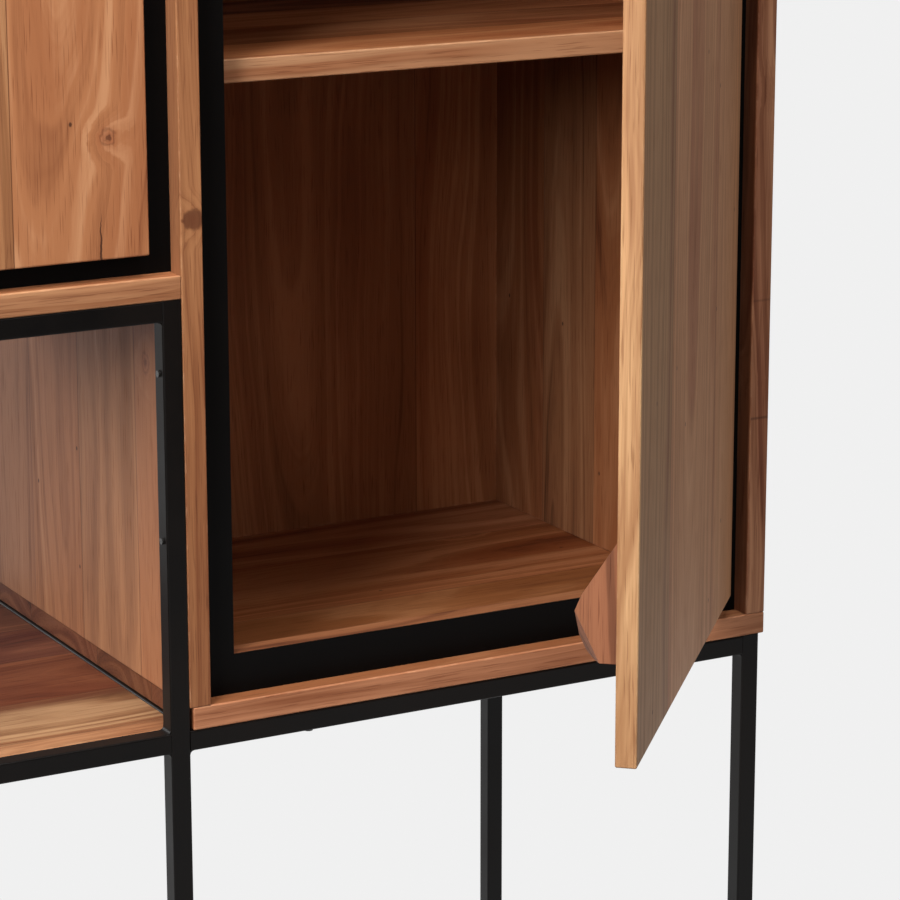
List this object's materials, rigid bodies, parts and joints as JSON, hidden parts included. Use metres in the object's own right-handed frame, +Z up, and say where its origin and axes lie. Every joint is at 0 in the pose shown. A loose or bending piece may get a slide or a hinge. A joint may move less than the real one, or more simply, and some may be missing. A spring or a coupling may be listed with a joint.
{
  "type": "sideboard buffet",
  "caption": "Tall wooden sideboard on slim black steel legs, with hinged cupboard doors either side of a short cupboard over an open niche.",
  "frame": {"origin": "on the floor, under the middle of the outline taken with the right-hand door standing open", "axes": "+X to the right as seen from the front, +Y to the rear, +Z up"},
  "size_m": [1.5, 0.7678, 1.2],
  "materials": {
    "carcass_wood": "oiled, satin",
    "door_wood": "oiled, satin",
    "grip_wood": "oiled, satin",
    "frame_black": "matt powder coat",
    "tube_steel": "matt powder coat",
    "hinge_metal": "black, satin",
    "screw_metal": "blackened",
    "magnet_metal": "nickel plated",
    "glide_plastic": "moulded",
    "pin_metal": "zinc plated"
  },
  "bodies": {
    "cabinet": {"centre_back_panel": "carcass_wood", "centre_face_frame": "frame_black", "centre_stop_frame": "carcass_wood", "frame_screws": "screw_metal", "front_centre_rail": "tube_steel", "front_left_leg": "tube_steel", "front_left_post": "tube_steel", "front_left_rail": "tube_steel", "front_right_leg": "tube_steel", "front_right_post": "tube_steel", "front_right_rail": "tube_steel", "hinge_frame_leaves": "hinge_metal", "hinge_frame_screws": "screw_metal", "hinge_pins": "hinge_metal", "left_back_panel": "carcass_wood", "left_bottom_board": "carcass_wood", "left_divider": "carcass_wood", "left_end_rail": "tube_steel", "left_face_frame": "frame_black", "left_inner_rail": "tube_steel", "left_outer_side": "carcass_wood", "left_shelf": "carcass_wood", "left_stop_frame": "carcass_wood", "leg_glides": "glide_plastic", "middle_board": "carcass_wood", "niche_floor": "carcass_wood", "niche_floor_bearers": "tube_steel", "niche_header": "tube_steel", "rear_left_inner_leg": "tube_steel", "rear_left_leg": "tube_steel", "rear_rail": "tube_steel", "rear_right_inner_leg": "tube_steel", "rear_right_leg": "tube_steel", "right_back_panel": "carcass_wood", "right_bottom_board": "carcass_wood", "right_divider": "carcass_wood", "right_end_rail": "tube_steel", "right_face_frame": "frame_black", "right_inner_rail": "tube_steel", "right_outer_side": "carcass_wood", "right_shelf": "carcass_wood", "right_stop_frame": "carcass_wood", "shelf_pins": "pin_metal", "top_board": "carcass_wood"},
    "left_door": {"left_door": "door_wood", "left_door_grip": "grip_wood", "left_door_hinge_leaves": "hinge_metal", "left_door_hinge_screws": "screw_metal", "left_door_magnets": "magnet_metal"},
    "centre_door": {"centre_door": "door_wood", "centre_door_grip": "grip_wood", "centre_door_hinge_leaves": "hinge_metal", "centre_door_hinge_screws": "screw_metal", "centre_door_magnets": "magnet_metal"},
    "right_door": {"right_door": "door_wood", "right_door_grip": "grip_wood", "right_door_hinge_leaves": "hinge_metal", "right_door_hinge_screws": "screw_metal", "right_door_magnets": "magnet_metal"}
  },
  "joints": [
    {"name": "left_door_hinge", "type": "hinge", "parent": "cabinet", "child": "left_door", "pos_m": [-0.7113, -0.04614, 0.81], "axis": [0, 0, -1], "range_deg": [0, 100]},
    {"name": "centre_door_hinge", "type": "hinge", "parent": "cabinet", "child": "centre_door", "pos_m": [-0.2053, -0.04614, 0.978], "axis": [0, 0, -1], "range_deg": [0, 100]},
    {"name": "right_door_hinge", "type": "hinge", "parent": "cabinet", "child": "right_door", "pos_m": [0.7113, -0.04614, 0.81], "axis": [0, 0, 1], "range_deg": [-48, 52]}
  ]
}
